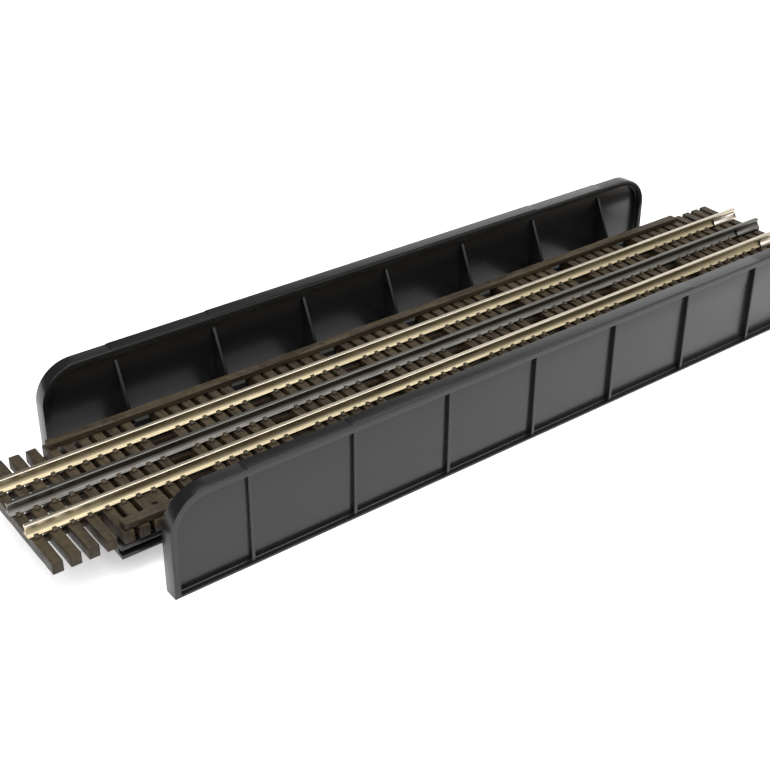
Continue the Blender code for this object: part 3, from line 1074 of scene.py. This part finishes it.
@dataclass
class TieStrip:
    """Ties, their links, tie plates, spikes and screw pads, moulded in one."""

    bottom: float = 16.7
    height: float = 5.6
    width: float = 4.6
    half_length: float = 38.1
    pitch: float = 6.86
    per_panel: int = 6
    approach: int = 4
    approach_pitch: float = 7.55
    edge: float = 0.32
    end_inset: float = 0.3
    plain_rings: int = 22
    plain_from: float = 1.6  # from a tie's end to its first plain ring
    wander_rates: tuple[float, ...] = (0.21, 0.43, 0.95)
    wander_sizes: tuple[float, ...] = (0.05, 0.035, 0.022)
    settle: float = 0.06  # how much lower the upper faces lie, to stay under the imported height
    lean: float = 0.07  # most that a tie's end lies off its middle
    link_width: float = 2.6
    link_rise: tuple[float, float] = (0.4, 2.6)
    groove_from: float = 208.7
    groove_half_width: float = 3.6
    groove_wall: float = 0.04
    groove_depth: float = 0.8
    plate_half: tuple[float, float] = (1.7, RAIL_FOOT_HALF + 1.0)
    spike_half: float = 0.95
    pad_x: float = 3.5 * PANEL
    pad_y: float = 27.0
    pad_inner: float = 18.0
    pad_outer: float = 29.2
    pad_drop: float = 0.2
    pad_overlap: float = 0.4
    sink_radius: float = 1.15
    sink_depth: float = 1.6

    @property
    def top(self) -> float:
        """Height of the ties' upper faces."""
        return self.bottom + self.height

    @property
    def plain_end(self) -> float:
        """X past which the joiners slide, so that ties have grooves and no spikes."""
        return self.groove_from - 1.0

    def places(self) -> np.ndarray:
        """Work out where the ties lie: six to a panel, then the wider approach ties at both ends.

        Returns:
            X of every tie, in order.
        """
        first = (PANEL - (self.per_panel - 1) * self.pitch) / 2
        panels = np.arange(STATIONS[0] - 1, STATIONS[-1] + 1)[:, None] * PANEL
        bridge = (panels + first + np.arange(self.per_panel)[None, :] * self.pitch).ravel()
        extra = bridge.max() + np.arange(1, self.approach + 1) * self.approach_pitch
        return np.sort(np.concatenate([bridge, extra, -extra]))

    def ties(self) -> Shape:
        """Every tie as a rounded bar whose faces wander a little along Y.

        Points on the faces that look along X or up leave their places by a sum of sines along Y
        with seeded phases. Past the plain end, upper points near a rail drop by a groove's depth.

        Returns:
            All the ties.
        """
        rng = np.random.default_rng(SEED)
        half_width, middle = self.width / 2, self.height / 2
        section = box_outline((-half_width, 0.0), (half_width, self.height), self.edge)
        ends = np.array([0.0, 0.1, self.edge])
        sides = (RAILS[:, None] + self.groove_half_width * np.array([-1.0, 1.0])).ravel()
        walls = (sides[:, None] + self.groove_wall * np.array([-1.0, 1.0])).ravel()
        reach = self.half_length - self.plain_from
        plain = np.linspace(-reach, reach, self.plain_rings)
        y = np.sort(
            np.concatenate([ends - self.half_length, self.half_length - ends, walls, plain])
        )
        from_end = self.half_length - np.abs(y)
        inset = self.end_inset * (1 - np.clip(from_end / self.edge, 0, 1)) ** 2
        grow = (1 - inset / half_width)[None, :, None]
        places = self.places()
        phase = rng.uniform(0, 2 * math.pi, (len(places), 1, len(section), 3))
        wander = wandering(y[None, :, None], phase, self.wander_rates, self.wander_sizes)
        lean = rng.uniform(-self.lean, self.lean, (len(places), 1, 1))
        outward = np.sign(section[:, 0]) * (np.abs(section[:, 0]) > half_width - NEAR_FACE)
        upward = section[:, 1] > self.height - NEAR_FACE
        x = section[:, 0] * grow + wander * outward + lean * y[None, :, None] / self.half_length
        z = middle + (section[:, 1] - middle) * grow + (wander - self.settle) * upward
        in_groove = (np.abs(y[:, None] - RAILS) < self.groove_half_width).any(axis=1)
        grooved = (places > self.plain_end)[:, None, None] & in_groove[None, :, None]
        z = np.where(grooved & upward, z - self.groove_depth, z)
        along = np.broadcast_to(y[None, :, None], x.shape)
        rings = np.stack([x + places[:, None, None], along, z + self.bottom], axis=-1)
        return joined([lofted(tie) for tie in rings])

    def links(self) -> Shape:
        """Bars that join the ties under each rail.

        Returns:
            All three bars.
        """
        half, half_width = float(self.places().max()), self.link_width / 2
        low, high = (self.bottom + rise for rise in self.link_rise)
        outline = box_outline((-half_width, low), (half_width, high), 0.3)
        bar = drawn_out(outline, -half, half, Along.X)
        return repeated(bar, np.column_stack([0 * RAILS, RAILS, 0 * RAILS]))

    def fastenings(self) -> Shape:
        """A tie plate under each rail on each tie, with a spike's head over both foot edges.

        Returns:
            All of them, where no joiner slides.
        """
        reach_x, reach_y = self.plate_half
        pad = box_outline((-reach_x, -reach_y), (reach_x, reach_y), 0.2, 2)
        plate = drawn_out(pad, -0.3, FIT_GAP - CLEAR, Along.Z, 0.1)
        hook = np.array(SPIKE_HEAD) + (RAIL_FOOT_HALF, 0.0)
        head = drawn_out(hook, -self.spike_half, self.spike_half, Along.X, 0.25)
        fastening = joined([plate, head, head.mirrored_y()])
        x = self.places()
        grid = np.stack(np.meshgrid(x[x < self.plain_end], RAILS, indexing="ij"), axis=-1)
        flat = grid.reshape(-1, 2)
        return repeated(fastening, np.column_stack([flat, np.full(len(flat), self.top)]))

    def screw_pad(self) -> Shape:
        """Block between two ties with a round sink for a screw.

        Every ring has the same angles: the outer rings are a circle pushed out to a rectangle, and
        the inner rings stay round.

        Returns:
            The closed block, with the screw's axis at X and Y zero.
        """
        turn = np.linspace(0.0, 2 * math.pi, 32, endpoint=False)
        circle = np.column_stack([np.cos(turn), np.sin(turn)])
        half_x = (self.pitch - self.width) / 2 + self.pad_overlap
        outer, inner = self.pad_outer - self.pad_y, self.pad_y - self.pad_inner
        reach_y = np.where(circle[:, 1] < 0, outer, inner)
        push = 1 / np.maximum(np.abs(circle[:, 0]) / half_x, np.abs(circle[:, 1]) / reach_y)
        block, sink = circle * push[:, None], circle * self.sink_radius
        high = self.top - self.pad_drop
        rows = [
            (block, self.bottom + self.pad_drop),
            (block, high - 0.25),
            (block * 0.97, high - 0.06),
            (block * 0.93, high),
            (circle * (self.sink_radius + 0.1), high),
            (sink, high - 0.08),
            (sink, high - self.sink_depth),
        ]
        rings = [np.column_stack([flat, np.full(len(flat), z)]) for flat, z in rows]
        return lofted(np.array(rings))

    def build(self, finish: bpy.types.Material) -> None:
        """Make the strip.

        Args:
            finish: its material.
        """
        pad = self.screw_pad()
        near_pad = pad.moved(-self.pad_x, -self.pad_y)
        far_pad = pad.mirrored_y().moved(self.pad_x, self.pad_y)
        shape = joined([self.ties(), self.links(), self.fastenings(), near_pad, far_pad])
        Piece("tie_strip_moulding", shape, Slot.BROWN, finish, ("tie_strip",)).make()


@dataclass
class GuardTimber:
    """Long timber that lies on the tie ends."""

    centre_y: float = 34.4
    width: float = 5.0
    low: float = 22.32
    high: float = 25.2
    half_length: float = 196.15
    edge: float = 0.35
    end_steps: tuple[float, ...] = (0.0, 0.12, 0.4)
    end_inset: float = 0.3
    plain_rings: int = 120
    plain_from: float = 3.0  # from the timber's end to its first plain ring
    wander_rates: tuple[float, ...] = (0.11, 0.37, 0.83)
    wander_sizes: tuple[float, ...] = (0.035, 0.025, 0.015)
    narrow: float = 0.05  # how much further in the sides lie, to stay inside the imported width
    settle: float = 0.07  # and the upper face

    def build(self, name: str, side: int, finish: bpy.types.Material) -> None:
        """Make one timber whose sides and upper face wander a little along its length.

        Args:
            name: the CAD node that it stands for.
            side: -1 for the near timber and 1 for the far one.
            finish: its material.
        """
        rng = np.random.default_rng(SEED + side)
        half_width, middle = self.width / 2, (self.low + self.high) / 2
        section = box_outline((-half_width, self.low), (half_width, self.high), self.edge)
        start = np.array(self.end_steps) - self.half_length
        reach = self.half_length - self.plain_from
        x = np.concatenate([start, np.linspace(-reach, reach, self.plain_rings), -start[::-1]])
        from_end = self.half_length - np.abs(x)
        near_end = 1 - np.clip(from_end / self.end_steps[-1], 0, 1)
        inset = (self.end_inset * near_end**2)[:, None]
        phase = rng.uniform(0, 2 * math.pi, (1, len(section), 3))
        wander = wandering(x[:, None], phase, self.wander_rates, self.wander_sizes)
        outward, upper = np.sign(section[:, 0]), section[:, 1] > middle
        y = section[:, 0] * (1 - inset / half_width) + (0.6 * wander - self.narrow) * outward
        z = middle + (section[:, 1] - middle) * (1 - inset) + (wander - self.settle) * upper
        along = np.broadcast_to(x[:, None], y.shape)
        rings = np.stack([along, y + side * self.centre_y, z], axis=-1)
        Piece(name + "_bar", lofted(rings), Slot.BROWN, finish, (name,)).make()


@dataclass
class Rail:
    """Flat-bottomed rail."""

    half_length: float = 228.6
    height: float = 5.46
    head: float = 2.4
    head_depth: float = 1.3
    web: float = 1.0

    def section(self) -> np.ndarray:
        """Rounded outline of the rail across the track.

        Returns:
            The outline, from the foot over the head and back.
        """
        bottom, top = RAIL_BOTTOM, RAIL_BOTTOM + self.height
        under_head = top - self.head_depth
        corners, radii = mirrored_outline(
            [
                (RAIL_FOOT_HALF, bottom, 0.12),
                (RAIL_FOOT_HALF, bottom + 0.5, 0.14),
                (1.3, bottom + 1.0, 0.45),
                (self.web / 2, bottom + 2.3, 0.8),
                (self.web / 2, under_head - 0.35, 0.3),
                (self.head / 2, under_head, 0.12),
                (self.head / 2, top, 0.42),
            ]
        )
        return softened(corners, radii, 5)

    def build(self, name: str, y: float, slot: Slot, finish: bpy.types.Material) -> None:
        """Make one rail.

        Args:
            name: the CAD node that it stands for.
            y: its place across the track.
            slot: its material slot.
            finish: its material.
        """
        shape = drawn_out(self.section(), -self.half_length, self.half_length, Along.X, 0.08)
        Piece(name + "_section", shape.moved(y=y), slot, finish, (name,)).make()


@dataclass
class RailJoiner:
    """Folded sheet that grips the rail's foot and rises beside its web."""

    length: float = 19.0
    end_x: float = 228.3
    skin: float = 0.4
    fold_y: float = 0.9  # inner face of the sheet beside the rail's web
    top: float = 3.6  # above the rail's foot

    def build(
        self, name: str, body: str, y: float, slot: Slot, finish: bpy.types.Material
    ) -> None:
        """Make one joiner.

        Args:
            name: the CAD node that it stands for.
            body: the body that slides with it.
            y: its place across the track.
            slot: its material slot.
            finish: its material.
        """
        inner_y, skin = RAIL_FOOT_HALF + FIT_GAP, self.skin
        corners, radii = mirrored_outline(
            [
                (inner_y, -FIT_GAP, 0.1),
                (inner_y, 0.95, 0.25),
                (self.fold_y, 1.5, 0.25),
                (self.fold_y, self.top, 0.05),
                (self.fold_y + skin, self.top, 0.05),
                (self.fold_y + skin, 1.9, 0.4),
                (inner_y + skin, 1.4, 0.5),
                (inner_y + skin, -FIT_GAP - skin, 0.35),
            ]
        )
        outline = softened(corners[::-1], radii[::-1], 4)
        outline[:, 1] += RAIL_BOTTOM
        shape = drawn_out(outline, self.end_x - self.length, self.end_x, Along.X, 0.07)
        Piece(name + "_sheet", shape.moved(y=y), slot, finish, (name,), body).make()


@dataclass
class TrackScrew:
    """Small round-headed screw with a cross recess."""

    head_radius: float = 0.85
    head_top: float = 21.7
    head_height: float = 0.9
    dome_radii: tuple[float, ...] = (0.8, 0.66, 0.54, 0.5, 0.4, 0.3, 0.2, 0.12)
    dome_rise: float = 0.25
    shank_radius: float = 0.6
    tip: float = 10.2
    recess_half: float = 0.13
    recess_reach: float = 0.52
    recess_depth: float = 0.3

    def build(self, name: str, x: float, y: float, finish: bpy.types.Material) -> None:
        """Make one screw as rings about its axis.

        The head's top is a shallow dome, lowered where the distance to either arm of the cross is
        less than half its width.

        Args:
            name: the CAD node that it stands for.
            x: its place along the track.
            y: its place across the track.
            finish: its material.
        """
        turn = np.linspace(0.0, 2 * math.pi, 48, endpoint=False)
        circle = np.column_stack([np.cos(turn), np.sin(turn)])
        dome_radii = np.array(self.dome_radii)
        radii = np.concatenate([3 * [self.shank_radius], 2 * [self.head_radius], dome_radii])
        head_low = self.head_top - self.head_height
        sides = [self.tip, head_low - 0.2, head_low, head_low, self.head_top - 0.3]
        dome = self.head_top - self.dome_rise * (dome_radii / self.head_radius) ** 2
        heights = np.concatenate([sides, dome])
        flat = circle[None, :, :] * radii[:, None, None]
        up = np.broadcast_to(heights[:, None], flat.shape[:2]).copy()
        near_arm = (np.abs(flat) < self.recess_half).any(axis=2)
        within = (radii < self.recess_reach)[:, None] & near_arm
        up = np.where(within, up - self.recess_depth, up)
        rings = np.concatenate([flat, up[:, :, None]], axis=2)
        shape = lofted(rings).moved(x, y)
        Piece(name + "_turned", shape, Slot.DARK_METAL, finish, (name,)).make()


# Studio ----------------------------------------------------------------------------------------


@dataclass(frozen=True)
class Studio:
    """Pale floor, soft sky and lights, and the camera."""

    camera_place: tuple[float, float, float] = (-0.36863, -0.43458, 0.35312)
    camera_turn: tuple[float, float, float] = (61.1417, -1.0084, -38.1373)  # degrees
    lens: float = 62.746
    shift: tuple[float, float] = (-0.0462, -0.0935)
    floor_reach: float = 12.0  # metres
    floor_tone: Colour = (0.76, 0.76, 0.76, 1.0)
    floor_glow: float = 0.44
    panel_turn: tuple[float, float] = (41.0, 15.0)  # azimuth and elevation, in degrees
    surround: float = 0.1
    panel_stops: tuple[tuple[float, float], ...] = ((0.915, 0.5), (0.95, 0.8), (0.985, 1.1))
    panel_edge: float = 0.87

    def floor(self) -> None:
        """Lay a wide pale floor on the plane that the girders stand on."""
        material = bpy.data.materials.new("pale_floor")
        material.use_nodes = True
        shader = material.node_tree.nodes["Principled BSDF"]
        for name, value in (
            ("Base Color", self.floor_tone),
            ("Emission Color", (1.0, 1.0, 1.0, 1.0)),
            ("Emission Strength", self.floor_glow),
            ("Roughness", 0.9),
            ("Specular IOR Level", 0.1),
        ):
            shader.inputs[name].default_value = value
        mesh = bpy.data.meshes.new("pale_floor")
        reach = self.floor_reach
        corners = [(-reach, -reach, 0), (reach, -reach, 0), (reach, reach, 0), (-reach, reach, 0)]
        mesh.from_pydata(corners, [], [(0, 1, 2, 3)])
        mesh.materials.append(material)
        floor = bpy.data.objects.new("pale_floor", mesh)
        bpy.context.scene.collection.objects.link(floor)

    def sky(self) -> None:
        """Dim surround with one wide soft panel, bright in its middle, low behind the right end.

        The panel's light depends on the cosine between a direction and the panel's middle.
        """
        world = bpy.data.worlds.new("studio")
        world.use_nodes = True
        bpy.context.scene.world = world
        board = NodeBoard(world.node_tree)
        azimuth, elevation = (math.radians(angle) for angle in self.panel_turn)
        middle = (
            math.cos(azimuth) * math.cos(elevation),
            math.sin(azimuth) * math.cos(elevation),
            math.sin(elevation),
        )
        cosine = board.add("ShaderNodeVectorMath", operation="DOT_PRODUCT")
        board.feed(cosine.inputs[0], board.add("ShaderNodeTexCoord").outputs["Generated"])
        board.feed(cosine.inputs[1], middle)
        ramp = board.add("ShaderNodeValToRGB")
        board.feed(ramp.inputs[0], cosine.outputs["Value"])
        stops = ((0.0, self.surround), (self.panel_edge, self.surround)) + self.panel_stops
        elements = ramp.color_ramp.elements
        while len(elements) < len(stops):
            elements.new(0.5)
        for element, (place, level) in zip(elements, stops):
            element.position = place
            element.color = (level, level, level * 1.01, 1.0)
        background = world.node_tree.nodes["Background"]
        board.feed(background.inputs["Color"], ramp.outputs["Color"])

    def sun(self, name: str, strength: float, spread: float, turn: tuple[float, float]) -> None:
        """Hang one soft sun.

        Args:
            name: the light's name.
            strength: light on a face square to it, in watts for each square metre.
            spread: its apparent size in degrees.
            turn: azimuth it shines from, counter-clockwise from +X, and its elevation.
        """
        light = bpy.data.lights.new(name, "SUN")
        light.energy = strength
        light.angle = math.radians(spread)
        lamp = bpy.data.objects.new(name, light)
        azimuth, elevation = math.radians(turn[0]), math.radians(turn[1])
        lamp.rotation_euler = (0.0, math.pi / 2 - elevation, azimuth)
        bpy.context.scene.collection.objects.link(lamp)

    def camera(self) -> None:
        """Stand the camera at its place."""
        data = bpy.data.cameras.new("camera")
        data.lens = self.lens
        data.sensor_width = 36.0
        data.shift_x, data.shift_y = self.shift
        data.clip_start, data.clip_end = 0.01, 60.0
        camera = bpy.data.objects.new("camera", data)
        camera.location = self.camera_place
        camera.rotation_euler = [math.radians(angle) for angle in self.camera_turn]
        bpy.context.scene.collection.objects.link(camera)
        bpy.context.scene.camera = camera

    def build(self) -> None:
        """Set up the whole studio."""
        bpy.context.scene.view_settings.view_transform = "Standard"
        self.floor()
        self.sky()
        self.sun("left_key", 2.5, 45.0, (226.0, 50.0))
        self.sun("overhead", 1.8, 60.0, (20.0, 78.0))
        self.sun("front_fill", 0.9, 60.0, (310.0, 48.0))
        self.camera()


@dataclass
class Finishes:
    """Every material of the bridge."""

    groups: EffectGroups = field(default_factory=EffectGroups)

    def __post_init__(self) -> None:
        """Build the materials."""
        groups = self.groups
        self.black = BlackPlastic().material(groups)
        self.ties = BrownPlastic("brown_tie_plastic", math.pi / 2).material(groups)
        self.guards = BrownPlastic("brown_guard_plastic", 0.0).material(groups)
        # Rail colours by height: the lighter head and foot are painted highlight, the darker side
        # and web colours are painted shade.
        self.nickel = DrawnMetal(
            "nickel_silver_rail",
            head=(0.74, 0.665, 0.53, 1.0),
            side=(0.60, 0.505, 0.325, 1.0),
            web_shade_and_tarnish=(0.42, 0.34, 0.19, 1.0),
            foot=(0.52, 0.45, 0.30, 1.0),
            toe=(0.16, 0.12, 0.07, 1.0),
            gloss=0.3,
        ).material(groups)
        self.dark_metal = DrawnMetal(
            "blackened_rail",
            head=(0.19, 0.185, 0.165, 1.0),
            side=(0.11, 0.106, 0.096, 1.0),
            web_shade_and_tarnish=(0.07, 0.067, 0.06, 1.0),
            foot=(0.23, 0.22, 0.2, 1.0),
            toe=(0.03, 0.028, 0.025, 1.0),
            gloss=0.34,
        ).material(groups)
        self.sheet = SheetMetal().material(groups)


def main() -> None:
    """Build the studio and every sub-assembly, in order."""
    logging.basicConfig(level=logging.INFO, format="%(message)s")
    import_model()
    Studio().build()
    finishes = Finishes()
    girder = PlateGirder()
    rail = Rail()
    joiner = RailJoiner()
    for side_name, side in (("near", -1), ("far", 1)):
        girder.build(side_name + "_girder", side, finishes.black)
        GuardTimber().build(side_name + "_guard_timber", side, finishes.guards)
        y = side * RAIL_Y
        rail.build(side_name + "_running_rail", y, Slot.NICKEL, finishes.nickel)
        node, body = side_name + "_rail_joiner", side_name + "_joiner"
        joiner.build(node, body, y, Slot.PALE_METAL, finishes.sheet)
    rail.build("center_rail", 0.0, Slot.DARK_METAL, finishes.dark_metal)
    joiner.build("center_rail_joiner", "center_joiner", 0.0, Slot.DARK_METAL, finishes.dark_metal)
    FloorSystem().build(finishes.black)
    ties = TieStrip()
    ties.build(finishes.ties)
    screw = TrackScrew()
    screw.build("left_track_screw", -ties.pad_x, -ties.pad_y, finishes.dark_metal)
    screw.build("right_track_screw", ties.pad_x, ties.pad_y, finishes.dark_metal)


if __name__ == "__main__":
    main()
